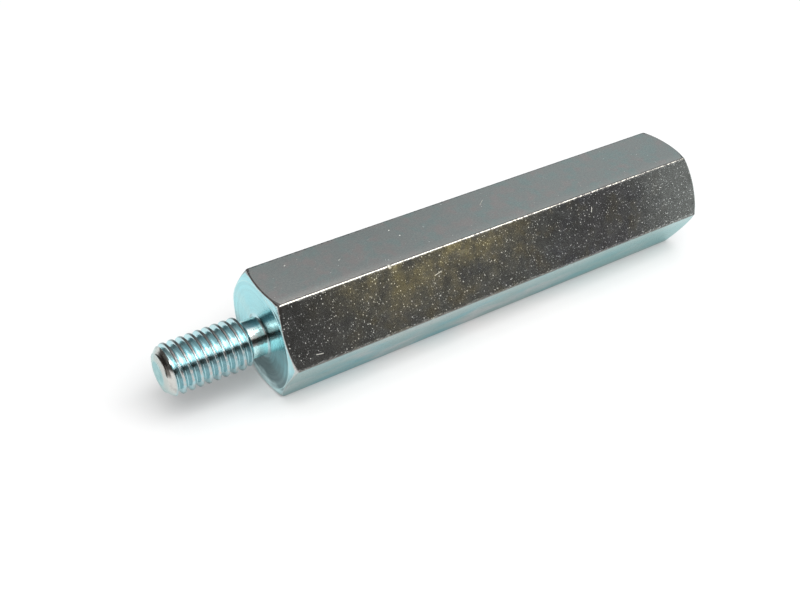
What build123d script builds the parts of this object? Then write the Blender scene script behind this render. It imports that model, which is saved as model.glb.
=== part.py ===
from build123d import *
from build123d.topology import SkipClean
import math
import os

os.makedirs("parts", exist_ok=True)

# A hexagonal steel spacer in millimetres: a six-sided body with a threaded stud at one end and a
# tapped blind hole at the other, turned from one length of bar. The origin is the centre of the
# shoulder that the stud stands on. +X runs along the body, the stud points along -X, and the
# body lies on one of its flats, so two of its corners point along +Y and -Y.

# Body
across_flats = 13.0
body_length = 60.0
bar_edge_radius = 0.2
end_ring_across = 12.6
shoulder_chamfer_angle = 22.0
end_chamfer_angle = 30.0

# Thread, the same on the stud and in the hole
thread_size = 6.0
pitch = 1.0
flank_angle = 60.0

# Stud. The tip's round runs from its flat face to the crest. The turn is where the groove would
# cross the shoulder, from +Y towards +Z.
stud_length = 12.05
stud_allowance = 0.05
tip_across = 3.4
tip_length = 1.1
tip_round = 2.7
neck_across = 4.4
neck_length = 2.0
neck_fillet = 0.25
neck_wall_angle = 60.0
stud_thread_turn = 97.2

# Hole. The turn is where its groove starts at the bottom of the thread, from +Y towards +Z.
drill_across = 5.0
thread_depth = 10.0
drill_depth = 13.0
drill_point_angle = 118.0
countersink_across = 6.4
countersink_angle = 90.0
hole_thread_turn = 310.0

# Round surfaces are built as eight sectors, so that each strip of crest is short and simple.
sectors = 8
# The helical faces are half a turn each, and the cutting form runs past the crest by this much.
turns_per_face = 0.5
cutter_overrun = 0.1

thread_radius = thread_size / 2
sharp_height = pitch / 2 / math.tan(math.radians(flank_angle / 2))
crest_flat = pitch / 8
stud_crest_radius = thread_radius - stud_allowance
stud_root_radius = thread_radius - sharp_height * 17 / 24
neck_radius = neck_across / 2
drill_radius = drill_across / 2


def turned(points, arcs=()):
    """A body of revolution about X, made of equal sectors. Points are (x, radius) in order."""
    edges = []
    for index, start in enumerate(points):
        end = points[(index + 1) % len(points)]
        if index in arcs:
            edges.append(RadiusArc(start, end, arcs[index]))
        else:
            edges.append(Line(start, end))
    profile = make_face(edges)
    sector_angle = 360 / sectors
    body = revolve(profile, Axis.X, sector_angle, clean=False)
    for index in range(1, sectors):
        body += Rot(index * sector_angle, 0, 0) * revolve(profile, Axis.X, sector_angle, clean=False)
    return body


def helical_cutter(corners, turns):
    """The space that a thread tool sweeps about +Z. Corners are (radius, height) of its section."""
    face_count = math.ceil(turns / turns_per_face)
    rise = pitch * turns_per_face
    rails = []
    for radius, height in corners:
        rail = Helix(pitch=pitch, height=rise, radius=radius).edge()
        rails.append(rail.moved(Location((0, 0, height))))
    faces = []
    for step in range(face_count):
        place = Location((0, 0, step * rise), (0, 0, step * 360 * turns_per_face))
        stepped = [rail.moved(place) for rail in rails]
        for first, second in zip(stepped, stepped[1:] + stepped[:1]):
            faces.append(Face.make_surface_from_curves(first, second))
        if step == 0:
            start = [rail @ 0 for rail in stepped]
        end = [rail @ 1 for rail in stepped]
    for outline in (start, end):
        faces.append(Face(Wire.make_polygon(outline, close=True)))
    return Solid(Shell(faces))


def along_bar(start, turn):
    """Lays a helical cutter along +X from a start, with its own start turned from +Y towards +Z."""
    return Pos(start, 0, 0) * Rot(turn + 90, 0, 0) * Rot(0, 90, 0)


def hexagonal_body():
    """Hexagonal bar with its long edges softened and both ends chamfered on a lathe."""
    across_corners = across_flats / math.cos(math.radians(30))
    outline = RegularPolygon(across_corners / 2, 6)
    outline = fillet(outline.vertices(), bar_edge_radius)
    bar = extrude(Plane.YZ * outline, body_length)
    ring_radius = end_ring_across / 2
    past_corners = across_corners / 2 + 1
    near_drop = (past_corners - ring_radius) * math.tan(math.radians(shoulder_chamfer_angle))
    far_drop = (past_corners - ring_radius) * math.tan(math.radians(end_chamfer_angle))
    lathe_outline = Polyline(
        (0, 0),
        (0, ring_radius),
        (near_drop, past_corners),
        (body_length - far_drop, past_corners),
        (body_length, ring_radius),
        (body_length, 0),
        close=True,
    )
    return bar & revolve(make_face(lathe_outline), Axis.X)


def threaded_stud():
    """Stud with a rounded tip, a right-hand thread and a plain neck that meets the shoulder."""
    wall_slope = math.tan(math.radians(neck_wall_angle))
    neck_wall = (stud_crest_radius - neck_radius) / wall_slope
    blank = turned(
        [
            (-stud_length, 0),
            (-stud_length, tip_across / 2),
            (-stud_length + tip_length, stud_crest_radius),
            (-neck_length - neck_wall, stud_crest_radius),
            (-neck_length, neck_radius),
            (-neck_fillet, neck_radius),
            (0, neck_radius + neck_fillet),
            (0, 0),
        ],
        arcs={1: tip_round, 5: -neck_fillet},
    )
    outer_radius = stud_crest_radius + cutter_overrun
    flank = (outer_radius - stud_root_radius) * math.tan(math.radians(flank_angle / 2))
    half_root = crest_flat / 2
    section = [
        (stud_root_radius, -half_root),
        (outer_radius, -half_root - flank),
        (outer_radius, half_root + flank),
        (stud_root_radius, half_root),
    ]
    # The groove starts in the air one pitch before the tip and ends in the air over the neck.
    start = -stud_length - pitch
    turns = (-neck_length + half_root - start) / pitch
    cutter = helical_cutter(section, turns)
    return blank - along_bar(start, stud_thread_turn + 360 * start / pitch) * cutter


def tapped_hole():
    """The space of the drilled hole, its countersunk mouth, its cone point and its thread."""
    mouth = body_length
    bottom = mouth - drill_depth
    point = drill_radius / math.tan(math.radians(drill_point_angle / 2))
    mouth_radius = countersink_across / 2
    sink = (mouth_radius - drill_radius) / math.tan(math.radians(countersink_angle / 2))
    space = turned(
        [
            (bottom - point, 0),
            (bottom, drill_radius),
            (mouth - sink, drill_radius),
            (mouth, mouth_radius),
            (mouth, 0),
        ]
    )
    inner_radius = drill_radius - cutter_overrun
    flank = (thread_radius - inner_radius) * math.tan(math.radians(flank_angle / 2))
    half_root = crest_flat / 2
    section = [
        (inner_radius, -half_root - flank),
        (thread_radius, -half_root),
        (thread_radius, half_root),
        (inner_radius, half_root + flank),
    ]
    turns = (thread_depth + pitch) / pitch
    ridge = helical_cutter(section, turns)
    return space, along_bar(mouth - thread_depth, hole_thread_turn) * ridge


with SkipClean():
    spacer = hexagonal_body()
    hole_space, hole_thread = tapped_hole()
    spacer = spacer - hole_space
    spacer = spacer - hole_thread
    spacer = spacer + threaded_stud()

spacer.label = "hex_spacer"
export_step(spacer, "parts/hex_spacer.step")
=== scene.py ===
import math
import bpy
import numpy as np
from mathutils import Matrix


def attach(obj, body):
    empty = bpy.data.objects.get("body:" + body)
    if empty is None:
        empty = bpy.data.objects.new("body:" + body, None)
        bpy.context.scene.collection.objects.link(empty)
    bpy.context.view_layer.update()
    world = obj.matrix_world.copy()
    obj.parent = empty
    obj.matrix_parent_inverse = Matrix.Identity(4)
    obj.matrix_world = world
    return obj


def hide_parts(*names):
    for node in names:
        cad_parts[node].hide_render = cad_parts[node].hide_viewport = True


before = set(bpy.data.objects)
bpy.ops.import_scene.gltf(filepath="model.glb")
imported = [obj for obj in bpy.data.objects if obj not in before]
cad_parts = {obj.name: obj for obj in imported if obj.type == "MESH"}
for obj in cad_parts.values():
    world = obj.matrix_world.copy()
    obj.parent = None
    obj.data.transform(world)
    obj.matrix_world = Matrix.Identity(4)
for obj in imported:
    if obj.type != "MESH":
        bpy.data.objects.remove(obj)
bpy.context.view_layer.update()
print("frame loaded:", ", ".join(sorted(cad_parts)))

# Millimetres and degrees
spacerSizes = {
    # The steel, as the solid has it
    "acrossFlats": 13.0, "bodyLength": 60.0, "edgeRadius": 0.2,
    "ringAcross": 12.6, "shoulderChamferAngle": 22.0, "endChamferAngle": 30.0,
    "threadAcross": 6.0, "pitch": 1.0, "flankAngle": 60.0, "rootFlat": 0.125,
    "studLength": 12.05, "crestRadius": 2.95, "rootRadius": 2.3866, "studGrooveAt": -0.27,
    "tipAcross": 3.4, "tipLength": 1.1, "tipRound": 2.7,
    "neckAcross": 4.4, "neckLength": 2.0, "neckFillet": 0.25, "neckWallAngle": 60.0,
    "drillAcross": 5.0, "threadDepth": 10.0, "drillDepth": 13.0, "drillPointAngle": 118.0,
    "sinkAcross": 6.4, "holeGrooveAt": 0.1389,
    # What the solid leaves out: soft edges, rounded threads, a tool step on the neck
    "edgeSoftness": 0.11, "cornerSoftness": 0.30, "cornerFrom": 0.53,
    "ringSoftness": 0.04, "tipSoftness": 0.28,
    "crestRounding": 0.12, "rootRounding": 0.10, "blankRounding": 0.06, "neckRounding": 0.08,
    "holeRounding": 0.08, "grooveFade": 0.6, "tipFade": (0.7, 1.05), "holeFade": (-0.3, 0.7),
    "neckStepAt": 0.62, "neckStepDepth": 0.012,
    # Uneven crests and the seam that rolling leaves along them
    "crestUnevenness": 0.012, "crestSwing": 2.0, "seamDepth": 0.02, "seamWidth": 0.035,
    "seamSwing": 1.5, "seamFade": (0.3, 0.05), "crestRim": (0.10, 0.04),
    # Rows and columns of the mesh. Fractions are parts of a turn of thread
    "columns": 144, "arcSteps": 4, "softSteps": 4, "filletSteps": 7, "guardReach": 1.3, "sharpAngle": 55.0,
    "studFractions": (0, .04, .08, .13, .2, .27, .32, .36, .39, .42, .45, .47, .485,
                      .5, .515, .53, .55, .58, .61, .64, .68, .73, .8, .87, .92, .96),
    "holeFractions": (0, .05, .1, .2, .3, .34, .38, .5, .62, .66, .7, .8, .9, .95),
    "tipRings": (0.0, 0.5, 1.1), "threadStart": 0.02, "threadPastWall": 0.15,
    "beforeStep": (-0.88, -0.06, 0.0), "afterStep": (0.05, 0.12, 0.22),
    "shoulderRings": (2.6, 3.2, 3.9, 4.6, 5.3, 5.9), "endRings": (5.9, 5.2, 4.5, 3.8),
    "flatRows": 13, "flatMargin": 1.0, "coneGuard": 0.5, "holeStart": 0.1, "holePastThread": 0.9,
}
millimetre = 0.001
finishes = ("turnedFace", "drawnFlat", "rolledThread", "boredHole")
ones = np.ones(spacerSizes["columns"] + 1)
evenAngle = np.arange(spacerSizes["columns"] + 1) / spacerSizes["columns"] * 2 * math.pi


def smoothLower(a, b, blend):
    # The lower of two heights; where they differ by less than the blend, a parabola joins them
    overlap = np.clip(blend - np.abs(a - b), 0.0, None)
    return np.minimum(a, b) - overlap**2 / (4.0 * blend)


def smoothUpper(a, b, blend):
    # The higher of two heights, joined the same way
    return -smoothLower(-a, -b, blend)


def smoothStep(value, low, high):
    # 0 below low, 1 above high, and 3t^2 - 2t^3 between them
    t = np.clip((value - low) / (high - low), 0.0, 1.0)
    return t * t * (3.0 - 2.0 * t)


def hexagonOutline(sizes):
    # Polar outline of the bar: half a corner arc, a flat and half an arc, six times round.
    # On the flat the radius is (across flats / 2) / cos(angle from the flat's middle).
    half = sizes["acrossFlats"] / 2
    sixth = math.pi / 3
    arcCentre = (half - sizes["edgeRadius"]) / math.cos(sixth / 2)
    swing = np.linspace(0.0, sixth / 2, sizes["arcSteps"] + 1)
    arcY = arcCentre + sizes["edgeRadius"] * np.cos(swing)
    arcZ = sizes["edgeRadius"] * np.sin(swing)
    arcAngle = np.arctan2(arcZ, arcY)
    arcRadius = np.hypot(arcY, arcZ)
    flatSteps = sizes["columns"] // 6 - 2 * sizes["arcSteps"]
    flatHalf = half * math.tan(sixth / 2 - arcAngle[-1])
    inner = flatHalf - sizes["edgeRadius"] / 4
    along = np.linspace(-inner, inner, flatSteps - 1)
    flatAngle = sixth / 2 + np.arctan(along / half)
    flatRadius = half / np.cos(flatAngle - sixth / 2)
    sideAngle = np.concatenate([arcAngle, flatAngle, sixth - arcAngle[:0:-1]])
    sideRadius = np.concatenate([arcRadius, flatRadius, arcRadius[:0:-1]])
    turns = np.arange(6)[:, None] * sixth
    angle = (turns + sideAngle[None, :]).ravel()
    radius = np.tile(sideRadius, 6)
    return np.append(angle, 2 * math.pi), np.append(radius, radius[0])


def softCorner(before, corner, after, reach, sizes):
    # Quadratic Bezier across a corner of the profile, with one guard row on each side of it.
    # Each point is (x, radius) for every column, so the corner can wander round the bar.
    def toward(target):
        way = target - corner
        return way / np.maximum(np.hypot(way[0], way[1]), 1e-9)
    start = corner + toward(before) * reach
    end = corner + toward(after) * reach
    t = np.linspace(0.0, 1.0, sizes["softSteps"] + 1)[:, None, None]
    curve = (1 - t)**2 * start + 2 * t * (1 - t) * corner + t**2 * end
    guardBefore = corner + toward(before) * reach * sizes["guardReach"]
    guardAfter = corner + toward(after) * reach * sizes["guardReach"]
    return np.concatenate([guardBefore[None], curve, guardAfter[None]])


def tipCircle(sizes):
    # Centre of the tip's round: on the inner side of the chord from the face's rim to the crest
    start = np.array([-sizes["studLength"], sizes["tipAcross"] / 2])
    end = np.array([-sizes["studLength"] + sizes["tipLength"], sizes["crestRadius"]])
    chord = end - start
    half = np.hypot(*chord) / 2
    inward = np.array([chord[1], -chord[0]]) / (2 * half)
    return (start + end) / 2 + inward * math.sqrt(sizes["tipRound"]**2 - half**2)


def tipRoundStart(sizes):
    # The point on the tip's round where the softened rim ends, a guard's reach along the arc
    middle = tipCircle(sizes)
    rimAngle = math.atan2(sizes["tipAcross"] / 2 - middle[1], -sizes["studLength"] - middle[0])
    roundAngle = rimAngle - sizes["guardReach"] * sizes["tipSoftness"] / sizes["tipRound"]
    return (middle[0] + sizes["tipRound"] * math.cos(roundAngle),
            middle[1] + sizes["tipRound"] * math.sin(roundAngle))


def grooveTurns(x, angle, grooveAt, sizes):
    # Turns since the groove's start, and the distance along X from the middle of the nearest groove
    turnsIn = (x - grooveAt) / sizes["pitch"] - angle / (2 * math.pi)
    return turnsIn, np.abs(turnsIn - np.round(turnsIn)) * sizes["pitch"]


def unevenness(alongHelix):
    # The mean of 14 sine waves along the helix, of different lengths and starts
    draw = np.random.default_rng(11)
    waves = draw.uniform(0.7, 9.0, 14)
    shifts = draw.uniform(0.0, 2 * math.pi, 14)
    return np.mean(np.sin(alongHelix[..., None] * waves * 2 * math.pi + shifts), axis=-1)


def studRadius(x, angle, sizes):
    # Blank: the lowest of tip round, crest and neck wall. Groove: a 60 degree V with a flat root,
    # whose centre moves one pitch along X for each turn about it. The stud is the lower of the two,
    # with the fine seam that rolling leaves along the middle of the crest.
    neck = sizes["neckAcross"] / 2
    middle = tipCircle(sizes)
    fromMiddle = np.minimum(x - middle[0], 0.0)
    tipRound = middle[1] + np.sqrt(sizes["tipRound"]**2 - fromMiddle**2)
    wall = neck - (x + sizes["neckLength"]) * math.tan(math.radians(sizes["neckWallAngle"]))
    turnsIn, fromGroove = grooveTurns(x, angle, sizes["studGrooveAt"], sizes)
    uneven = unevenness(np.floor(turnsIn) + angle / (2 * math.pi))
    crest = sizes["crestRadius"] - sizes["crestUnevenness"] * (1.0 + sizes["crestSwing"] * uneven)
    blank = smoothLower(tipRound, crest, sizes["blankRounding"])
    blank = smoothLower(blank, wall, sizes["blankRounding"])
    blank = smoothUpper(blank, neck, sizes["neckRounding"])
    rise = (fromGroove - sizes["rootFlat"] / 2) / math.tan(math.radians(sizes["flankAngle"] / 2))
    groove = smoothUpper(sizes["rootRadius"] + rise, sizes["rootRadius"], sizes["rootRounding"])
    fading = 1.0 - smoothStep(x + sizes["studLength"], *sizes["tipFade"])  # The groove fades at the tip
    groove = groove + sizes["grooveFade"] * fading
    fromCrest = sizes["pitch"] / 2 - fromGroove
    seam = sizes["seamDepth"] * np.exp(-(fromCrest / sizes["seamWidth"])**2)
    seam = seam * (1.0 + sizes["seamSwing"] * uneven)
    seamLow, seamHigh = sizes["seamFade"]
    seam = seam * smoothStep(blank, crest - seamLow, crest - seamHigh)
    return smoothLower(groove, blank, sizes["crestRounding"]) - seam


def holeRadius(x, angle, sizes):
    # The higher of the drilled wall, the 90 degree countersink and a V groove that fades at its end
    sink = sizes["sinkAcross"] / 2 - (sizes["bodyLength"] - x)
    wall = smoothUpper(sink, sizes["drillAcross"] / 2, sizes["blankRounding"])
    fromGroove = grooveTurns(x, angle, sizes["holeGrooveAt"], sizes)[1]
    fall = np.clip(fromGroove - sizes["rootFlat"] / 2, 0.0, None)
    groove = sizes["threadAcross"] / 2 - fall / math.tan(math.radians(sizes["flankAngle"] / 2))
    end = sizes["bodyLength"] - sizes["threadDepth"]
    fadeLow, fadeHigh = sizes["holeFade"]
    groove = groove - sizes["grooveFade"] * (1.0 - smoothStep(x, end + fadeLow, end + fadeHigh))
    return smoothUpper(groove, wall, sizes["holeRounding"])


def threadGrid(radiusOf, sizes, grooveAt, fractions, start, end):
    # Rows that run along the helix: x = groove + pitch * (turn + fraction + column / columns), held
    # between start and end. A row's last column is the first column of the row one turn further on.
    columns = sizes["columns"]
    low, high = min(start, end), max(start, end)
    firstTurn = math.floor((low - grooveAt) / sizes["pitch"]) - 1
    lastTurn = math.ceil((high - grooveAt) / sizes["pitch"])
    turn = np.arange(firstTurn, lastTurn)[:, None] + np.array(fractions)[None, :]
    turn = np.append(turn.ravel(), lastTurn)
    across = np.arange(columns + 1) / columns
    x = grooveAt + sizes["pitch"] * (turn[:, None] + across[None, :])
    x = np.clip(x, low, high)
    angle = np.broadcast_to(across * 2 * math.pi, x.shape)
    radius = radiusOf(x, angle, sizes)
    further = np.minimum(np.arange(len(turn)) + len(fractions), len(turn) - 1)
    x[:, -1] = x[further, 0]
    radius[:, -1] = radius[further, 0]
    if start > end:
        x, radius = x[::-1], radius[::-1]
    return x, radius, angle


# The profile is a list of rows (x, radius, angle, rim, finish), each with one value for every column
def spot(x, radius):
    return np.array([x * ones, radius * ones])


def plainRows(points, angle, finish, rim=0.0):
    return [(point[0], point[1], angle, rim * ones, finish) for point in points]


def cornerRows(before, corner, after, reach, angle, finish, sizes):
    curve = softCorner(before, corner, after, reach, sizes)
    return (plainRows(curve[:1], angle, finish) + plainRows(curve[1:-1], angle, finish, 1.0)
            + plainRows(curve[-1:], angle, finish))


def gridRows(grid, rim, finish):
    x, radius, angle = grid
    return [(x[row], radius[row], angle[row], rim[row], finish) for row in range(len(x))]


def studRows(sizes):
    # Tip face and its softened rim
    tipX = -sizes["studLength"]
    roundX, roundRadius = tipRoundStart(sizes)
    rows = plainRows([spot(tipX, radius) for radius in sizes["tipRings"]], evenAngle, "turnedFace")
    rows += cornerRows(spot(tipX, 0.0), spot(tipX, sizes["tipAcross"] / 2), spot(roundX, roundRadius),
                       sizes["tipSoftness"], evenAngle, "turnedFace", sizes)
    # Thread, from the tip's round to the neck, with its crests marked as a rim
    neckX = -sizes["neckLength"] + sizes["threadPastWall"]
    grid = threadGrid(studRadius, sizes, sizes["studGrooveAt"], sizes["studFractions"],
                      roundX + sizes["threadStart"], neckX)
    rimLow, rimHigh = sizes["crestRim"]
    rim = smoothStep(grid[1], sizes["crestRadius"] - rimLow, sizes["crestRadius"] - rimHigh)
    rows += gridRows(grid, rim, "rolledThread")
    # Neck with its tool step, then the fillet: a quarter circle up to the shoulder
    stepX = -sizes["neckStepAt"]
    neck = sizes["neckAcross"] / 2
    lower = neck - sizes["neckStepDepth"]
    fillet = sizes["neckFillet"]
    points = [spot(stepX + move, neck) for move in sizes["beforeStep"]]
    points += [spot(stepX + move, lower) for move in sizes["afterStep"]]
    for t in np.linspace(0.0, math.pi / 2, sizes["filletSteps"] + 1):
        height = lower + (fillet + neck - lower) * (1 - math.cos(t))
        points.append(spot(-fillet + fillet * math.sin(t), height))
    return rows + plainRows(points, evenAngle, "rolledThread")


def ringRows(x, rings, hexAngle):
    # Rings of an end face, whose columns turn from even steps to the hexagon's as the rings grow
    rows = []
    for radius in rings:
        share = (radius - min(rings)) / (max(rings) - min(rings))
        rows += plainRows([spot(x, radius)], evenAngle + share * (hexAngle - evenAngle), "turnedFace")
    return rows


def bodyRows(sizes):
    # Chamfer cone: where it meets the bar it stands (outline radius - ring) * tan(angle) back
    hexAngle, hexRadius = hexagonOutline(sizes)
    length = sizes["bodyLength"]
    ring = sizes["ringAcross"] / 2
    nearBack = (hexRadius - ring) * math.tan(math.radians(sizes["shoulderChamferAngle"]))
    farBack = (hexRadius - ring) * math.tan(math.radians(sizes["endChamferAngle"]))
    atCorner = smoothStep(hexRadius, sizes["acrossFlats"] * sizes["cornerFrom"], hexRadius.max())
    soft = sizes["edgeSoftness"] + (sizes["cornerSoftness"] - sizes["edgeSoftness"]) * atCorner
    ringSoft = sizes["ringSoftness"]
    nearEdge = np.array([nearBack, hexRadius])
    farEdge = np.array([length - farBack, hexRadius])
    nearEnd = np.array([0.0 * ones, hexRadius])
    farEnd = np.array([length * ones, hexRadius])

    rows = ringRows(0.0, sizes["shoulderRings"], hexAngle)
    rows += cornerRows(spot(0.0, 0.0), spot(0.0, ring), nearEdge, ringSoft, hexAngle, "turnedFace", sizes)
    rows += cornerRows(spot(0.0, ring), nearEdge, farEnd, soft, hexAngle, "drawnFlat", sizes)
    places = np.linspace(sizes["flatMargin"], length - sizes["flatMargin"], sizes["flatRows"])
    rows += plainRows([np.array([x * ones, hexRadius]) for x in places], hexAngle, "drawnFlat")
    rows += cornerRows(nearEnd, farEdge, spot(length, ring), soft, hexAngle, "drawnFlat", sizes)
    rows += cornerRows(farEdge, spot(length, ring), spot(length, 0.0), ringSoft, hexAngle,
                       "turnedFace", sizes)
    return rows + ringRows(length, sizes["endRings"], hexAngle)


def holeRows(sizes):
    # Rim of the countersink, thread, drilled wall and the drill's point
    length = sizes["bodyLength"]
    sink = sizes["sinkAcross"] / 2
    drill = sizes["drillAcross"] / 2
    bottom = length - sizes["drillDepth"]
    pointX = bottom - drill / math.tan(math.radians(sizes["drillPointAngle"] / 2))
    fadeX = length - sizes["threadDepth"] - sizes["holePastThread"]
    onCone = spot(length - sizes["coneGuard"], sink - sizes["coneGuard"])
    rows = cornerRows(spot(length, sizes["ringAcross"] / 2), spot(length, sink), onCone,
                      sizes["ringSoftness"], evenAngle, "turnedFace", sizes)
    grid = threadGrid(holeRadius, sizes, sizes["holeGrooveAt"], sizes["holeFractions"],
                      length - sizes["holeStart"], fadeX)
    rows += gridRows(grid, np.zeros_like(grid[1]), "boredHole")
    rows += cornerRows(spot(length, drill), spot(bottom, drill), spot(pointX, 0.0),
                       sizes["ringSoftness"], evenAngle, "boredHole", sizes)
    return rows + plainRows([spot(pointX, 0.0)], evenAngle, "boredHole")


def revolvedMesh(name, rows, sharpAngle):
    # Point (x, r cos a, r sin a) for each row and column; equal points are joined, flat cells dropped
    x = np.array([row[0] for row in rows])
    radius = np.array([row[1] for row in rows])
    angle = np.array([row[2] for row in rows])
    rim = np.array([row[3] for row in rows])
    kind = np.array([finishes.index(row[4]) for row in rows])
    cosine, sine = np.cos(angle), np.sin(angle)
    cosine[:, -1], sine[:, -1] = cosine[:, 0], sine[:, 0]
    points = np.stack([x, radius * cosine, radius * sine], axis=-1).reshape(-1, 3) * millimetre
    joined, first, index = np.unique(np.round(points, 9), axis=0, return_index=True, return_inverse=True)
    index = index.reshape(x.shape)
    cells = np.stack([index[:-1, :-1], index[:-1, 1:], index[1:, 1:], index[1:, :-1]], axis=-1)
    cells = cells.reshape(-1, 4)
    cellKind = np.repeat(kind[:-1], x.shape[1] - 1)
    same = cells == np.roll(cells, -1, axis=1)
    corners = 4 - same.sum(axis=1)
    quads = cells[corners == 4]
    threes = cells[corners == 3][~same[corners == 3]].reshape(-1, 3)
    faceKind = np.concatenate([cellKind[corners == 4], cellKind[corners == 3]])
    mesh = bpy.data.meshes.new(name)
    mesh.from_pydata(joined.tolist(), [], quads.tolist() + threes.tolist())
    mesh.polygons.foreach_set("material_index", faceKind)
    worn = mesh.attributes.new("rimWear", "FLOAT", "POINT")
    worn.data.foreach_set("value", rim.ravel()[first].astype(np.float32))
    mesh.shade_smooth()
    mesh.set_sharp_from_angle(angle=math.radians(sharpAngle))
    mesh.update()
    return mesh


# Node helpers. An input may be a number, a colour or another node's output
def addNode(tree, kind, inputs=None, **settings):
    made = tree.nodes.new(kind)
    for name, value in settings.items():
        setattr(made, name, value)
    for name, value in (inputs or {}).items():
        if isinstance(value, bpy.types.NodeSocket):
            tree.links.new(value, made.inputs[name])
        else:
            made.inputs[name].default_value = value
    return made


def calc(tree, operation, first, second=0.0, third=0.0, clamp=False):
    inputs = {0: first, 1: second, 2: third}
    return addNode(tree, "ShaderNodeMath", inputs, operation=operation, use_clamp=clamp).outputs[0]


def product(tree, first, *others):
    for other in others:
        first = calc(tree, "MULTIPLY", first, other)
    return first


def vectorCalc(tree, operation, inputs):
    made = addNode(tree, "ShaderNodeVectorMath", inputs, operation=operation)
    givesNumber = operation in ("LENGTH", "DISTANCE", "DOT_PRODUCT")
    return made.outputs["Value" if givesNumber else "Vector"]


def remap(tree, value, span, onto=(0.0, 1.0)):
    # Smooth step that starts at the span's first number and is full at its second
    made = addNode(tree, "ShaderNodeMapRange", {
        "Value": value, "From Min": span[0], "From Max": span[1], "To Min": onto[0], "To Max": onto[1],
    }, interpolation_type="SMOOTHSTEP")
    return made.outputs["Result"]


def mixColour(tree, share, first, second, blend="MIX"):
    inputs = {0: share, 6: first, 7: second}
    return addNode(tree, "ShaderNodeMix", inputs, data_type="RGBA", blend_type=blend).outputs[2]


def stretched(tree, vector, scale, turn=(0.0, 0.0, 0.0)):
    inputs = {"Vector": vector, "Rotation": turn, "Scale": scale}
    return addNode(tree, "ShaderNodeMapping", inputs).outputs["Vector"]


def noise(tree, vector, scale, detail=2.0, roughness=0.5):
    inputs = {"Vector": vector, "Scale": scale, "Detail": detail, "Roughness": roughness}
    return addNode(tree, "ShaderNodeTexNoise", inputs).outputs["Fac"]


def splitPlace(tree, place):
    return addNode(tree, "ShaderNodeSeparateXYZ", {0: place}).outputs


def axisDistance(tree, parts):
    # How far a point is from the X axis, which runs through the bar
    cross = addNode(tree, "ShaderNodeCombineXYZ", {"Y": parts["Y"], "Z": parts["Z"]}).outputs[0]
    return vectorCalc(tree, "LENGTH", {0: cross})


def newGroup(name, inputs, result="Mask"):
    # Each input is named with its default: four numbers for a colour, three for a vector, or one
    kinds = {4: "NodeSocketColor", 3: "NodeSocketVector", 1: "NodeSocketFloat"}
    group = bpy.data.node_groups.new(name, "ShaderNodeTree")
    sockets = group.interface
    sockets.new_socket(name="Vector", in_out="INPUT", socket_type=kinds[3])
    for label, value in inputs.items():
        made = sockets.new_socket(name=label, in_out="INPUT", socket_type=kinds[np.size(value)])
        made.default_value = value
    sockets.new_socket(name=result, in_out="OUTPUT", socket_type=kinds[4 if result == "Color" else 1])
    enter = group.nodes.new("NodeGroupInput")
    leave = group.nodes.new("NodeGroupOutput")
    return group, enter.outputs, leave.inputs


# Shared effects
def makeFilmTint():
    # Thin chromate film: two slow noises push the base colour towards a warm and then a cool cast
    group, given, out = newGroup("filmTint", {
        "Base": (0.6, 0.64, 0.63, 1.0), "Warm": (0.66, 0.60, 0.58, 1.0), "Cool": (0.52, 0.68, 0.68, 1.0),
        "Scale": 300.0, "Amount": 0.5}, "Color")
    cover = (0.46, 0.68)
    coloured = given["Base"]
    for cast, shift in (("Warm", (0.0, 0.0, 0.0)), ("Cool", (0.31, 0.17, 0.05))):
        moved = vectorCalc(group, "ADD", {0: given["Vector"], 1: shift})
        cloud = noise(group, moved, given["Scale"], 3.0, 0.55)
        share = product(group, remap(group, cloud, cover), given["Amount"])
        coloured = mixColour(group, share, coloured, given[cast])
    group.links.new(coloured, out["Color"])
    return group


def makeSpecks():
    # Small round pits: one in some of the Voronoi cells, each with its own size and strength
    group, given, out = newGroup("plateSpecks", {"Cells": 3000.0, "Share": 0.4, "Size": 0.35})
    least = 0.3
    cell = addNode(group, "ShaderNodeTexVoronoi", {"Vector": given["Vector"], "Scale": given["Cells"]})
    chance = addNode(group, "ShaderNodeSeparateColor", {"Color": cell.outputs["Color"]}).outputs
    present = calc(group, "LESS_THAN", chance["Red"], given["Share"])
    size = calc(group, "MULTIPLY_ADD", chance["Green"], 1.0 - least, least)
    falling = calc(group, "DIVIDE", cell.outputs["Distance"], product(group, given["Size"], size))
    strength = calc(group, "MULTIPLY_ADD", chance["Blue"], 1.0 - least, least)
    dot = product(group, remap(group, falling, (1.0, 0.0)), product(group, present, strength))
    group.links.new(dot, out["Mask"])
    return group


def makeScratch():
    # One short mark: the distance to a segment about a centre, along a direction
    group, given, out = newGroup("scratch", {
        "Centre": (0.0, 0.0, 0.0), "Direction": (1.0, 0.0, 0.0), "Half Length": 0.0004, "Width": 0.00006})
    offset = vectorCalc(group, "SUBTRACT", {0: given["Vector"], 1: given["Centre"]})
    along = vectorCalc(group, "DOT_PRODUCT", {0: offset, 1: given["Direction"]})
    held = calc(group, "MINIMUM", along, given["Half Length"])
    held = calc(group, "MAXIMUM", held, product(group, given["Half Length"], -1.0))
    foot = vectorCalc(group, "SCALE", {0: given["Direction"], "Scale": held})
    gap = vectorCalc(group, "DISTANCE", {0: offset, 1: foot})
    group.links.new(remap(group, calc(group, "DIVIDE", gap, given["Width"]), (1.0, 0.3)), out["Mask"])
    return group


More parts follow.
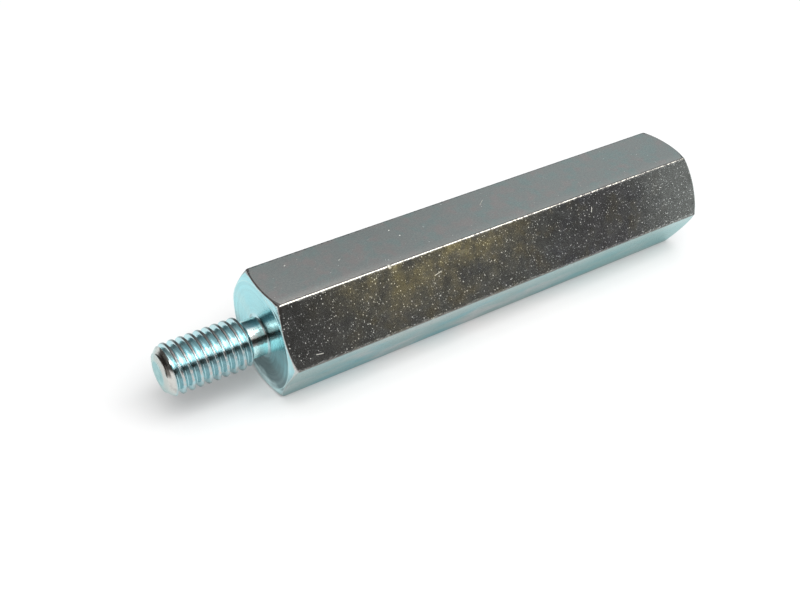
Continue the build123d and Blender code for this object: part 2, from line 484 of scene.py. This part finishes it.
def makeTurningMarks():
    # Rings about the X axis: coarse and fine noise that depend only on the distance from the axis
    group, given, out = newGroup("turningMarks", {"Rings": 9000.0, "Fine Rings": 30000.0}, "Height")
    fineShare = 0.3
    radius = axisDistance(group, splitPlace(group, given["Vector"]))

    def rings(perMetre):
        inputs = {"W": product(group, radius, perMetre), "Scale": 1.0, "Detail": 1.0}
        return addNode(group, "ShaderNodeTexNoise", inputs, noise_dimensions="1D").outputs["Fac"]

    total = calc(group, "MULTIPLY_ADD", rings(given["Fine Rings"]), fineShare, rings(given["Rings"]))
    group.links.new(total, out["Height"])
    return group


def makeEdgeWear():
    # Rubbed edges: a rim mask, kept where noise is over a level that falls as the cover grows
    group, given, out = newGroup("edgeWear", {"Rim": 0.0, "Scale": 900.0, "Cover": 0.5})
    bareLevel, levelFall, softness = 0.72, 0.5, 0.12
    patchy = noise(group, given["Vector"], given["Scale"], 3.0, 0.6)
    low = calc(group, "SUBTRACT", bareLevel, product(group, given["Cover"], levelFall))
    high = calc(group, "ADD", low, softness)
    worn = addNode(group, "ShaderNodeMapRange", {"Value": patchy, "From Min": low, "From Max": high})
    group.links.new(product(group, worn.outputs["Result"], given["Rim"]), out["Mask"])
    return group


def makeHandlingMarks():
    # Short scratches two ways: noise stretched along a slanted direction, kept where it peaks
    group, given, out = newGroup("handlingMarks", {"Scale": 400.0, "Amount": 0.3})
    slants = (((0.4, 0.5, 0.6), (0.12, 1.6, 1.6)), ((1.1, -0.7, 2.0), (0.15, 1.9, 1.9)))
    peaks, places = (0.74, 0.80), (0.50, 0.62)
    streaks = []
    for turn, scale in slants:
        slanted = stretched(group, given["Vector"], scale, turn)
        streaks.append(noise(group, slanted, given["Scale"], 1.0, 0.4))
    where = noise(group, given["Vector"], 160.0, 2.0)
    kept = remap(group, calc(group, "MAXIMUM", *streaks), peaks)
    kept = product(group, kept, remap(group, where, places), given["Amount"])
    group.links.new(kept, out["Mask"])
    return group


effects = {
    "tint": makeFilmTint(), "specks": makeSpecks(), "turning": makeTurningMarks(),
    "wear": makeEdgeWear(), "handling": makeHandlingMarks(), "scratch": makeScratch(),
}
print("effects ready:", ", ".join(effects))


def useEffect(tree, name, place, inputs):
    given = {"Vector": place, **inputs}
    return addNode(tree, "ShaderNodeGroup", given, node_tree=effects[name]).outputs[0]


def unevenRoughness(tree, place, values):
    # Slow noise swings the roughness about its middle value
    cloud = noise(tree, place, *values["roughNoise"])
    swing = values["roughSwing"]
    return calc(tree, "MULTIPLY_ADD", cloud, swing, values["roughness"] - swing / 2)


def bumpStack(tree, layers):
    # Layers of height with (distance in metres, strength), each laid over the ones before it
    inputs = {}
    for height, (distance, strength) in layers:
        inputs.update({"Height": height, "Distance": distance, "Strength": strength})
        inputs["Normal"] = addNode(tree, "ShaderNodeBump", inputs).outputs["Normal"]
    return inputs["Normal"]


def makeMetal(name, values, surface):
    # A metal whose constant values sit on the shader's own sockets; the surface gives the rest
    material = bpy.data.materials.new(name)
    material.use_nodes = True
    tree = material.node_tree
    tree.nodes.clear()
    place = addNode(tree, "ShaderNodeTexCoord").outputs["Object"]
    coloured, rough, normal = surface(tree, place, values)
    shader = addNode(tree, "ShaderNodeBsdfPrincipled", {
        "Base Color": coloured, "Metallic": 1.0, "Roughness": rough, "Normal": normal,
        "Specular Tint": values["edgeTint"]})
    addNode(tree, "ShaderNodeOutputMaterial", {"Surface": shader.outputs[0]})
    return material


# Finishes. Places are in metres. A mask is a product of named masks and of smooth steps (measure, span),
# each starting at the span's first number and full at its second, or running over a second span.
# A film is (colour, share, part of its mask, ...), and films are laid over one another in order.
def measures(tree, place):
    # The three axes, the distance from the X axis and the rim attribute
    parts = splitPlace(tree, place)
    on = {axis: parts[axis] for axis in "XYZ"}
    on["reach"] = axisDistance(tree, on)
    on["rim"] = addNode(tree, "ShaderNodeAttribute", attribute_name="rimWear").outputs["Fac"]
    return on


def maskOf(tree, on, parts):
    return product(tree, *[on[part] if isinstance(part, str) else remap(tree, on[part[0]], *part[1:])
                           for part in parts])


def paint(tree, on, coloured, films):
    for colour, share, *parts in films:
        coloured = mixColour(tree, product(tree, maskOf(tree, on, parts), share), coloured, colour)
    return coloured


# Drawn flats
flatFinish = {
    "roughness": 0.20, "roughNoise": (700.0, 3.0), "roughSwing": 0.10, "edgeTint": (0.80, 0.97, 1.0, 1.0),
    # Masks: long edges, the flats between them, and the upper part of the bar
    "edgeReach": (0.00742, 0.00746), "waverNoise": (3200.0, 3.0, 0.65), "waver": 0.00010,
    "upperZ": (0.004, 0.006), "topZ": (0.0063, 0.00645), "lean": (-0.866, 0.5), "facing": (0.00640, 0.00648),
    # The top and the hidden flats
    "film": {
        "Base": (0.61, 0.66, 0.65, 1.0), "Warm": (0.70, 0.65, 0.64, 1.0), "Cool": (0.54, 0.69, 0.68, 1.0),
        "Scale": 520.0, "Amount": 0.7},
    # The upper front: its film is darker than the top's as painted shade, with more painted shade at the
    # stud's end and painted light at the far end
    "frontShadedFilm": {
        "Base": (0.38, 0.395, 0.39, 1.0), "Warm": (0.38, 0.36, 0.31, 1.0), "Cool": (0.33, 0.34, 0.365, 1.0),
        "Scale": 420.0, "Amount": 0.9},
    "frontEndShading": (((0.32, 0.325, 0.32, 1.0), 1.0, ("X", (0.012, 0.001))),
                  ((0.62, 0.66, 0.64, 1.0), 1.0, ("X", (0.047, 0.058)))),
    # The lower front in long streaks, its film darker than the top's as painted shade, greener at its far end
    # and paler along its upper side as painted light
    "lowShadedFilm": {
        "Base": (0.37, 0.43, 0.41, 1.0), "Warm": (0.60, 0.52, 0.50, 1.0), "Cool": (0.19, 0.41, 0.44, 1.0),
        "Scale": 360.0, "Amount": 1.0},
    "lowStretch": (0.35, 1.0, 1.0),
    "lowTintAndLight": (((0.24, 0.42, 0.40, 1.0), 0.6, ("X", (0.032, 0.050))),
                 # Painted light: paler along the upper side of the lower front
                 ((0.54, 0.53, 0.49, 1.0), 0.6, ("Z", (-0.0032, -0.0004)))),
    # An olive haze on the upper front, a darker place further along, and a painted sheen as a pale margin on
    # the top
    "cloudNoise": (420.0, 4.0, 0.6), "oliveCentre": 0.020, "darkCentre": 0.0445,
    "haze": (("fromOlive", (0.019, 0.004)), "front", ("Z", (0.0003, 0.0058), (0.30, 1.25)),
             ("cloud", (0.15, 0.80))),
    "cloudsAndSheen": (((0.63, 0.55, 0.30, 1.0), 0.9, "haze"),
               ((0.30, 0.29, 0.30, 1.0), 0.7, ("fromDark", (0.009, 0.001)), "front", ("cloud", (0.64, 0.40))),
               # Painted sheen: a pale margin along the front of the top
               ((0.88, 0.87, 0.84, 1.0), 1.0, ("Y", (-0.0022, -0.0037)), "top",
                ("X", (0.024, 0.004), (0.3, 1.0)))),
    # Flecks and specks: each pair holds the value elsewhere and the value on the top
    "fleckNoise": (5200.0, 3.0, 0.6), "fleckSpan": (0.30, 0.70),
    "fleckLow": (0.86, 0.95), "fleckHigh": (1.10, 1.05),
    "specks": {"Cells": 3600.0, "Size": 0.28}, "specksShare": (0.65, 0.04), "speckShine": 0.8,
    "fine": {"Cells": 6000.0, "Size": 0.42}, "fineShare": (0.50, 0.04),
    # Edges: a dark band on and beside the upper long edges, dull film on the other long edges and painted
    # shade along the end edges, then rubbed metal on the front of the upper front one
    "dullAndShadedRim": ("rim", ("Z", (0.0045, 0.0062), (0.25, 1.0))), "dullAndShadedWear": {"Scale": 2100.0, "Cover": 0.85},
    "rubbedRim": ("longEdge", ("past", (-0.00005, 0.0)), "upper"), "rubbedScale": 1900.0,
    "rubbedCover": (("X", (0.004, 0.058), (0.85, 0.55)),),
    "edges": (((0.16, 0.14, 0.13, 1.0), 0.7, ("reach", (0.00740, 0.00744)), "upper"),
              # The dulled mask holds dull film and a painted dark line along the end edges
              ((0.16, 0.14, 0.13, 1.0), 0.85, "dulledAndShaded"), ((0.92, 0.89, 0.80, 1.0), 1.0, "rubbed")),
    # Marks, and what they and the haze add to the roughness
    "marks": {"Scale": 420.0, "Amount": 0.5}, "bare": (((0.92, 0.89, 0.80, 1.0), 1.0, "bright"),),
    "rougher": (("marks", 0.15), ("haze", 0.08), ("bright", 0.30)),
    # Bumps: distance in metres and strength
    "grainNoise": (3800.0, 2.0, 0.6), "grainStretch": (0.5, 1.0, 1.0), "grainBump": (0.000005, 0.8),
    "raggedNoise": (2600.0, 3.0, 0.6), "raggedReach": (0.00736, 0.00744), "raggedBump": (0.00008, 1.0),
    "fineBump": (0.000012, 1.0), "speckBump": (0.00004, 1.0), "marksBump": (0.00001, 0.6),
    # Single scratches: centre, direction, half length, width and depth
    "scratches": (
        ((0.0044, 0.0021, 0.0065), (1.0, 0.0, 0.0), 0.00003, 0.00009, 0.00003),
        ((0.0179, 0.0020, 0.0065), (1.0, 0.0, 0.0), 0.00003, 0.00011, 0.00003),
        ((0.0184, 0.0005, 0.0065), (1.0, 0.0, 0.0), 0.00003, 0.00009, 0.00004),
        ((0.0101, 0.0000, 0.0065), (0.9, 0.4, 0.0), 0.00014, 0.00005, 0.00002),
        ((0.00350, -0.00698, 0.00092), (0.988, -0.078, -0.135), 0.00040, 0.00004, 0.00003),
        ((0.0142, -0.0037, 0.0064), (0.35, 0.0, -0.94), 0.00012, 0.00028, 0.00010),
        ((0.0200, -0.0051, 0.0041), (0.97, 0.12, 0.20), 0.0005, 0.00005, 0.00002),
        ((0.0305, 0.0012, 0.0065), (0.80, 0.60, 0.0), 0.0006, 0.00004, 0.00001),
        ((0.0430, -0.0048, 0.0047), (0.30, 0.47, 0.82), 0.0003, 0.00005, 0.00002),
    ),
}


def flatMeasures(tree, place, values):
    # The long edges by a wavering distance from the axis. Each front flat by how far out a point lies,
    # square to it: lean is the direction square to the upper front, in Y and Z
    on = measures(tree, place)
    waver = noise(tree, place, *values["waverNoise"])
    waver = calc(tree, "MULTIPLY_ADD", waver, values["waver"], -values["waver"] / 2)
    on["longEdge"] = remap(tree, calc(tree, "ADD", on["reach"], waver), values["edgeReach"])
    on["upper"] = remap(tree, on["Z"], values["upperZ"])
    on["top"] = remap(tree, on["Z"], values["topZ"])
    outward = product(tree, on["Y"], values["lean"][0])
    rise = product(tree, on["Z"], values["lean"][1])
    outFront = calc(tree, "ADD", outward, rise)
    on["front"] = remap(tree, outFront, values["facing"])
    on["low"] = remap(tree, calc(tree, "SUBTRACT", outward, rise), values["facing"])
    on["past"] = calc(tree, "SUBTRACT", outFront, on["Z"])
    for name, centre in (("fromOlive", "oliveCentre"), ("fromDark", "darkCentre")):
        on[name] = calc(tree, "ABSOLUTE", calc(tree, "SUBTRACT", on["X"], values[centre]))
    on["cloud"] = noise(tree, place, *values["cloudNoise"])
    on["haze"] = maskOf(tree, on, values["haze"])
    return on


def flatFilm(tree, place, values, on):
    # The film of each flat, with painted shade on the two fronts, its clouds with a painted sheen on the top,
    # and flecks that are fainter on the top
    shadedFront = paint(tree, on, useEffect(tree, "tint", place, values["frontShadedFilm"]), values["frontEndShading"])
    streakyShadedLow = useEffect(tree, "tint", stretched(tree, place, values["lowStretch"]), values["lowShadedFilm"])
    streakyShadedLow = paint(tree, on, streakyShadedLow, values["lowTintAndLight"])
    coloured = mixColour(tree, on["front"], useEffect(tree, "tint", place, values["film"]), shadedFront)
    coloured = paint(tree, on, mixColour(tree, on["low"], coloured, streakyShadedLow), values["cloudsAndSheen"])
    darkest = remap(tree, on["top"], (0.0, 1.0), values["fleckLow"])
    lightest = remap(tree, on["top"], (0.0, 1.0), values["fleckHigh"])
    fleck = noise(tree, place, *values["fleckNoise"])
    fleck = remap(tree, fleck, values["fleckSpan"], (darkest, lightest))
    return mixColour(tree, 1.0, coloured, fleck, "MULTIPLY")


def flatWear(tree, place, values, on):
    # Dull film on all but the upper long edges, a painted dark line along the end edges that is strongest
    # near the top, and rubbed metal, less of it further along
    otherEdges = calc(tree, "SUBTRACT", on["longEdge"], on["upper"], clamp=True)
    dullAndShadedRim = calc(tree, "MAXIMUM", maskOf(tree, on, values["dullAndShadedRim"]), otherEdges)
    on["dulledAndShaded"] = useEffect(tree, "wear", place, {"Rim": dullAndShadedRim, **values["dullAndShadedWear"]})
    on["rubbed"] = useEffect(tree, "wear", place, {
        "Rim": maskOf(tree, on, values["rubbedRim"]), "Scale": values["rubbedScale"],
        "Cover": maskOf(tree, on, values["rubbedCover"])})


def flatMarks(tree, place, values, on):
    # Pits of two sizes, fewer on the top, handling marks, and single scratches with their own height
    for name in ("specks", "fine"):
        share = remap(tree, on["top"], (0.0, 1.0), values[name + "Share"])
        on[name] = useEffect(tree, "specks", place, {"Share": share, **values[name]})
    on["marks"] = useEffect(tree, "handling", place, values["marks"])
    scratched = 0.0
    rise = 0.0
    for centre, direction, halfLength, width, depth in values["scratches"]:
        one = useEffect(tree, "scratch", place, {
            "Centre": centre, "Direction": direction, "Half Length": halfLength, "Width": width})
        scratched = calc(tree, "MAXIMUM", one, scratched)
        rise = calc(tree, "MAXIMUM", product(tree, one, depth), rise)
    on["bright"] = calc(tree, "MAXIMUM", scratched, product(tree, on["specks"], values["speckShine"]))
    on["scratchRise"] = rise


def drawnFlat(tree, place, values):
    on = flatMeasures(tree, place, values)
    flatWear(tree, place, values, on)
    flatMarks(tree, place, values, on)
    coloured = paint(tree, on, flatFilm(tree, place, values, on), values["edges"] + values["bare"])
    rough = unevenRoughness(tree, place, values)
    for name, amount in values["rougher"]:
        rough = calc(tree, "MULTIPLY_ADD", on[name], amount, rough)
    grain = noise(tree, stretched(tree, place, values["grainStretch"]), *values["grainNoise"])
    ragged = calc(tree, "SUBTRACT", noise(tree, place, *values["raggedNoise"]), 0.5)
    ragged = product(tree, ragged, remap(tree, on["reach"], values["raggedReach"]))
    normal = bumpStack(tree, [
        (grain, values["grainBump"]), (on["fine"], values["fineBump"]), (on["specks"], values["speckBump"]),
        (on["marks"], values["marksBump"]), (on["scratchRise"], (1.0, 1.0)), (ragged, values["raggedBump"])])
    return coloured, rough, normal


# Turned faces: the shoulder, the far end and the stud's tip
turnedFinish = {
    "roughness": 0.20, "roughNoise": (900.0, 3.0), "roughSwing": 0.12, "edgeTint": (0.75, 0.98, 1.0, 1.0),
    "film": {
        "Base": (0.43, 0.70, 0.74, 1.0), "Warm": (0.52, 0.69, 0.70, 1.0), "Cool": (0.38, 0.67, 0.72, 1.0),
        "Scale": 320.0, "Amount": 0.6},
    # Painted shade towards the bottom, and painted light at the lowest part, with uneven borders
    "waverNoise": (500.0, 3.0), "waver": 0.002,
    "low": (((0.24, 0.27, 0.28, 1.0), 1.0, ("level", (0.0010, -0.0022))),
            ((0.88, 0.99, 1.0, 1.0), 1.0, ("level", (-0.0036, -0.0050)))),
    # The stud's tip: its colour, then patches and a rim
    "tip": (0.54, 0.63, 0.61, 1.0), "tipX": (-0.0115, -0.0118), "tipNoise": (900.0, 3.0, 0.5),
    "tipFilms": (((0.33, 0.47, 0.475, 1.0), 1.0, ("patches", (0.22, 0.58))),
                 ((0.56, 0.56, 0.53, 1.0), 1.0, ("reach", (0.00125, 0.00155)))),
    # Turned rings show as slightly lighter and darker film on the ends of the body
    "rings": {"Rings": 2400.0, "Fine Rings": 9000.0}, "ringSpan": (0.45, 0.85), "ringTones": (0.84, 1.12),
    "ringsAt": (("X", (-0.0115, -0.0010)), ("Z", (0.0012, -0.0018), (0.3, 1.0))),
    "wear": {"Scale": 1300.0, "Cover": 0.7},
    "worn": (((0.62, 0.76, 0.76, 1.0), 1.0, "wear", ("X", (-0.0118, -0.0115))),),
    # The cut is finer beside the front of the neck, so it mirrors the neck
    "marks": {"Scale": 500.0, "Amount": 0.4}, "marksRough": 0.15,
    "finerAt": (("Y", (-0.0008, -0.0018)), ("Z", (-0.0008, 0.0002))), "finerRough": -0.12,
    "grooves": {"Rings": 5200.0, "Fine Rings": 21000.0}, "groovesBump": (0.000034, 0.8),
    "grainNoise": (6000.0, 2.0), "grainBump": (0.000004, 0.6),
}


def turnedFace(tree, place, values):
    on = measures(tree, place)
    waver = noise(tree, place, *values["waverNoise"])
    on["level"] = calc(tree, "MULTIPLY_ADD", waver, values["waver"], on["Z"])
    on["patches"] = noise(tree, place, *values["tipNoise"])
    on["wear"] = useEffect(tree, "wear", place, {"Rim": on["rim"], **values["wear"]})
    # The film, with painted shade low down and painted light at the lowest part
    coloured = paint(tree, on, useEffect(tree, "tint", place, values["film"]), values["low"])
    tip = paint(tree, on, values["tip"], values["tipFilms"])
    coloured = mixColour(tree, remap(tree, on["X"], values["tipX"]), coloured, tip)
    rings = useEffect(tree, "turning", place, values["rings"])
    tones = remap(tree, rings, values["ringSpan"], values["ringTones"])
    ringed = mixColour(tree, 1.0, coloured, tones, "MULTIPLY")
    coloured = mixColour(tree, maskOf(tree, on, values["ringsAt"]), coloured, ringed)
    coloured = paint(tree, on, coloured, values["worn"])
    marks = useEffect(tree, "handling", place, values["marks"])
    rough = calc(tree, "MULTIPLY_ADD", marks, values["marksRough"], unevenRoughness(tree, place, values))
    rough = calc(tree, "MULTIPLY_ADD", maskOf(tree, on, values["finerAt"]), values["finerRough"], rough)
    normal = bumpStack(tree, [
        (useEffect(tree, "turning", place, values["grooves"]), values["groovesBump"]),
        (noise(tree, place, *values["grainNoise"]), values["grainBump"])])
    return coloured, rough, normal


# Stud and neck
threadFinish = {
    "roughness": 0.18, "roughNoise": (1500.0, 3.0), "roughSwing": 0.14, "edgeTint": (0.80, 0.98, 1.0, 1.0),
    "film": {
        "Base": (0.54, 0.74, 0.77, 1.0), "Warm": (0.64, 0.73, 0.74, 1.0), "Cool": (0.46, 0.70, 0.76, 1.0),
        "Scale": 520.0, "Amount": 0.6},
    # Painted shade: a darker underside, and a dark strip along the front of the thread
    "shadedSides": (((0.43, 0.59, 0.62, 1.0), 1.0, ("Z", (0.0017, 0.0003))),
              ((0.09, 0.085, 0.08, 1.0), 0.4, ("Z", (0.0019, 0.0015)), ("Z", (0.0004, 0.0009)))),
    # The tip's round: its colour, then patches, and painted shade that darkens its start on the upper side
    "tip": (0.62, 0.62, 0.59, 1.0), "tipAt": (("X", (-0.0110, -0.0113)),), "tipNoise": (1200.0, 3.0, 0.6),
    "tipFilms": (((0.46, 0.45, 0.43, 1.0), 1.0, ("patches", (0.40, 0.70))),
                 # Painted shade: the start of the round darkened on its upper front side
                 ((0.10, 0.09, 0.08, 1.0), 0.9, ("X", (-0.01140, -0.01155)), ("Z", (0.0007, 0.0013)),
                  ("Y", (0.0009, -0.0001)))),
    # The neck in painted bands of reflection: painted shade on its upper side, a painted highlight near the
    # top, painted bright blue below and darker painted blue on the top
    "neck": (0.25, 0.24, 0.23, 1.0), "neckAt": (("X", (-0.0021, -0.0018)), ("X", (-0.00015, -0.00026))),
    "borderNoise": (4200.0, 3.0, 0.6), "borderWaver": 0.0005, "borderSlope": -0.15,
    "neckFilms": (((0.80, 0.80, 0.78, 1.0), 1.0, ("level", (0.00215, 0.00226))),
                  ((0.72, 1.0, 1.0, 1.0), 1.0, ("border", (0.00101, 0.00079))),
                  ((0.26, 0.43, 0.48, 1.0), 1.0, ("Z", (0.00204, 0.00215)))),
    # Painted shadow in the fillet, worn crests, brown film with painted shade on crests above and below the
    # bright band, and painted shade on the lowest crests
    "wear": {"Scale": 2200.0, "Cover": 0.55},
    "crestWearAndShade": (((0.09, 0.085, 0.08, 1.0), 0.85, ("X", (-0.00032, -0.00024)), ("Z", (0.0006, 0.0013)),
                ("Y", (0.0005, -0.0003))),
               ((0.50, 0.49, 0.475, 1.0), 1.0, "wear"),
               ((0.21, 0.20, 0.195, 1.0), 0.85, "rim", ("Z", (0.0020, 0.0025)), "onThread"),
               ((0.21, 0.20, 0.195, 1.0), 0.34, "rim", ("Z", (-0.0003, -0.0010)), "onThread"),
               ((0.09, 0.085, 0.08, 1.0), 1.0, ("reach", (0.00266, 0.00280)), ("Z", (-0.0013, -0.0024)),
                "onThread")),
    "onThread": (("X", (-0.0112, -0.0109)),),
    # Tool lines run round the stud, so the grain is stretched across X
    "grainNoise": (12000.0, 2.0, 0.6), "grainStretch": (1.0, 0.15, 0.15), "grainBump": (0.000012, 0.8),
    "lumpNoise": (2600.0, 2.0), "lumpBump": (0.000010, 0.5),
}


def rolledThread(tree, place, values):
    on = measures(tree, place)
    waver = noise(tree, place, *values["borderNoise"])
    on["border"] = calc(tree, "MULTIPLY_ADD", waver, values["borderWaver"], on["Z"])
    on["level"] = calc(tree, "MULTIPLY_ADD", on["X"], values["borderSlope"], on["border"])
    on["patches"] = noise(tree, place, *values["tipNoise"])
    on["wear"] = useEffect(tree, "wear", place, {"Rim": on["rim"], **values["wear"]})
    on["onThread"] = maskOf(tree, on, values["onThread"])
    # The film with painted shade on the underside and along the front strip
    coloured = paint(tree, on, useEffect(tree, "tint", place, values["film"]), values["shadedSides"])
    # The tip's round and the neck, with painted shade on the tip and painted bands of reflection on the neck
    for name in ("tip", "neck"):
        film = paint(tree, on, values[name], values[name + "Films"])
        coloured = mixColour(tree, maskOf(tree, on, values[name + "At"]), coloured, film)
    # Crest wear and brown film, with painted shadow and painted shade
    coloured = paint(tree, on, coloured, values["crestWearAndShade"])
    grain = noise(tree, stretched(tree, place, values["grainStretch"]), *values["grainNoise"])
    lumps = noise(tree, place, *values["lumpNoise"])
    normal = bumpStack(tree, [(grain, values["grainBump"]), (lumps, values["lumpBump"])])
    return coloured, unevenRoughness(tree, place, values), normal


# Bored hole
holeFinish = {
    "roughness": 0.30, "roughNoise": (1500.0, 3.0), "roughSwing": 0.16, "edgeTint": (0.78, 0.96, 1.0, 1.0),
    "film": {
        "Base": (0.40, 0.58, 0.62, 1.0), "Warm": (0.50, 0.56, 0.56, 1.0), "Cool": (0.30, 0.52, 0.58, 1.0),
        "Scale": 420.0, "Amount": 0.6},
    "grainNoise": (9000.0, 2.0, 0.6), "grainStretch": (1.0, 0.2, 0.2), "grainBump": (0.000008, 0.7),
}


def boredHole(tree, place, values):
    grain = noise(tree, stretched(tree, place, values["grainStretch"]), *values["grainNoise"])
    return (useEffect(tree, "tint", place, values["film"]), unevenRoughness(tree, place, values),
            bumpStack(tree, [(grain, values["grainBump"])]))


def addObject(name, data):
    made = bpy.data.objects.new(name, data)
    bpy.context.scene.collection.objects.link(made)
    return made


spacerRows = studRows(spacerSizes) + bodyRows(spacerSizes) + holeRows(spacerSizes)
spacerMesh = revolvedMesh("hexSpacer", spacerRows, spacerSizes["sharpAngle"])
metals = {
    "turnedFace": (turnedFinish, turnedFace), "drawnFlat": (flatFinish, drawnFlat),
    "rolledThread": (threadFinish, rolledThread), "boredHole": (holeFinish, boredHole),
}
for finish in finishes:
    spacerMesh.materials.append(makeMetal(finish, *metals[finish]))
spacer = addObject("hexSpacer", spacerMesh)
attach(spacer, "root")
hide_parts("hex_spacer")
print("spacer made:", len(spacerMesh.vertices), "points,", len(spacerMesh.polygons), "faces")

# Studio: a pale floor, a world of pale and black walls, and one large soft lamp overhead
white, pale, grey, dim = (1.0, 1.0, 1.0), (0.7, 0.7, 0.7), (0.38, 0.38, 0.38), (0.16, 0.16, 0.16)
dusk, ember = (0.16, 0.155, 0.15), (0.065, 0.062, 0.058)
studio = {
    "floorHalf": 6.0, "floorHeight": -spacerSizes["acrossFlats"] / 2 * millimetre,
    "floorColour": (0.87, 0.87, 0.87, 1.0), "floorGlow": (0.05, 1.0), "glowAway": (0.25, 1.2),
    "lampToward": (0.05, -0.53, 0.848), "lampDistance": 1.2, "lampLength": 2.0, "lampDepth": 0.95,
    "lampPower": 14.2, "lampAim": (0.024, 0.0, 0.0),
    # Tones by height, with 0 at the bottom, 0.5 at the horizon and 1 overhead: pale to 5 or 7 degrees
    # above the horizon, then dim behind and grey on the right, with black cards on the left and in front
    "behind": ((0.0, white), (0.54, white), (0.565, grey), (0.61, dim), (0.74, dim), (0.82, grey),
               (1.0, pale)),
    "walls": (
        ("X", (0.40, 0.60), ((0.0, white), (0.54, white), (0.57, grey), (0.80, grey), (1.0, pale))),
        ("X", (-0.25, -0.55), ((0.0, white), (0.56, white), (0.58, dusk), (0.60, ember), (0.72, ember),
                               (0.80, dusk), (1.0, pale))),
        ("Y", (-0.60, -0.75), ((0.0, white), (0.535, white), (0.56, dusk), (0.585, ember), (0.80, ember),
                               (0.88, dusk), (1.0, pale))),
    ),
    "overheadToward": (0.05, -0.15, 0.987), "overheadSpan": (0.78, 0.99), "overhead": (1.7, 1.7, 1.7, 1.0),
}


def makeFloor(values):
    # A matt floor with a shadow, which glows white for the camera and in reflections further out
    half, height = values["floorHalf"], values["floorHeight"]
    corners = [(-half, -half, height), (half, -half, height), (half, half, height), (-half, half, height)]
    mesh = bpy.data.meshes.new("studioFloor")
    mesh.from_pydata(corners, [], [(0, 1, 2, 3)])
    material = bpy.data.materials.new("paleFloor")
    material.use_nodes = True
    tree = material.node_tree
    tree.nodes.clear()
    matt = addNode(tree, "ShaderNodeBsdfDiffuse", {"Color": values["floorColour"]})
    ray = addNode(tree, "ShaderNodeLightPath").outputs
    seen = calc(tree, "MAXIMUM", ray["Is Camera Ray"], ray["Is Glossy Ray"])
    seen = calc(tree, "MAXIMUM", seen, ray["Is Transmission Ray"])
    away = vectorCalc(tree, "LENGTH", {0: addNode(tree, "ShaderNodeTexCoord").outputs["Object"]})
    glow = remap(tree, away, values["glowAway"], values["floorGlow"])
    glow = addNode(tree, "ShaderNodeEmission", {"Strength": product(tree, seen, glow)})
    both = addNode(tree, "ShaderNodeAddShader", {0: matt.outputs[0], 1: glow.outputs[0]})
    addNode(tree, "ShaderNodeOutputMaterial", {"Surface": both.outputs[0]})
    mesh.materials.append(material)
    floor = addObject("studioFloor", mesh)


def ramp(tree, value, stops):
    made = addNode(tree, "ShaderNodeValToRGB", {"Fac": value})
    elements = made.color_ramp.elements
    while len(elements) < len(stops):
        elements.new(0.5)
    for element, (position, colour) in zip(elements, stops):
        element.position = position
        element.color = (*colour, 1.0)
    return made.outputs["Color"]


def makeWorld(values):
    world = bpy.data.worlds.new("softStudio")
    world.use_nodes = True
    tree = world.node_tree
    tree.nodes.clear()
    way = addNode(tree, "ShaderNodeTexCoord").outputs["Generated"]
    parts = splitPlace(tree, way)
    height = calc(tree, "MULTIPLY_ADD", parts["Z"], 0.5, 0.5)
    coloured = ramp(tree, height, values["behind"])
    for axis, span, stops in values["walls"]:
        coloured = mixColour(tree, remap(tree, parts[axis], span), coloured, ramp(tree, height, stops))
    # A soft glow overhead, brightest behind the lamp
    overhead = vectorCalc(tree, "DOT_PRODUCT", {0: way, 1: values["overheadToward"]})
    coloured = mixColour(tree, remap(tree, overhead, values["overheadSpan"]), coloured, values["overhead"])
    background = addNode(tree, "ShaderNodeBackground", {"Color": coloured, "Strength": 1.0})
    addNode(tree, "ShaderNodeOutputWorld", {"Surface": background.outputs[0]})
    bpy.context.scene.world = world


def makeLamp(values):
    # The lamp's own axes: Z from the aim to the lamp, X square to it and to the world's Y, Y square to both
    light = bpy.data.lights.new("overheadSoftbox", "AREA")
    light.shape = "RECTANGLE"
    light.size = values["lampLength"]
    light.size_y = values["lampDepth"]
    light.energy = values["lampPower"]
    toward = np.array(values["lampToward"])
    toward = toward / np.linalg.norm(toward)
    side = np.cross((0.0, 1.0, 0.0), toward)
    side = side / np.linalg.norm(side)
    place = np.eye(4)
    place[:3, 0] = side
    place[:3, 1] = np.cross(toward, side)
    place[:3, 2] = toward
    place[:3, 3] = np.array(values["lampAim"]) + toward * values["lampDistance"]
    addObject("overheadSoftbox", light).matrix_world = Matrix(place.tolist())


makeFloor(studio)
makeWorld(studio)
makeLamp(studio)
print("studio ready")

# Camera: its place in metres, and in degrees its turn to the left of the front, its climb and its roll
cameraPose = {
    "place": (-0.0408503, -0.0842560, 0.0793428), "lens": 49.94, "film": 36.0,
    "turn": 35.172463, "climb": 38.6288, "roll": 2.67277, "nearest": 0.001,
}


def makeCamera(pose):
    view = bpy.data.cameras.new("photoView")
    view.lens = pose["lens"]
    view.sensor_width = pose["film"]
    view.clip_start = pose["nearest"]
    turned = Matrix.Rotation(math.radians(-pose["turn"]), 4, "Z")
    tipped = Matrix.Rotation(math.radians(90.0 - pose["climb"]), 4, "X")
    rolled = Matrix.Rotation(math.radians(pose["roll"]), 4, "Z")
    camera = addObject("photoView", view)
    camera.matrix_world = Matrix.Translation(pose["place"]) @ turned @ tipped @ rolled
    bpy.context.scene.camera = camera


makeCamera(cameraPose)
bpy.context.scene.view_settings.view_transform = "Standard"
print("camera ready")
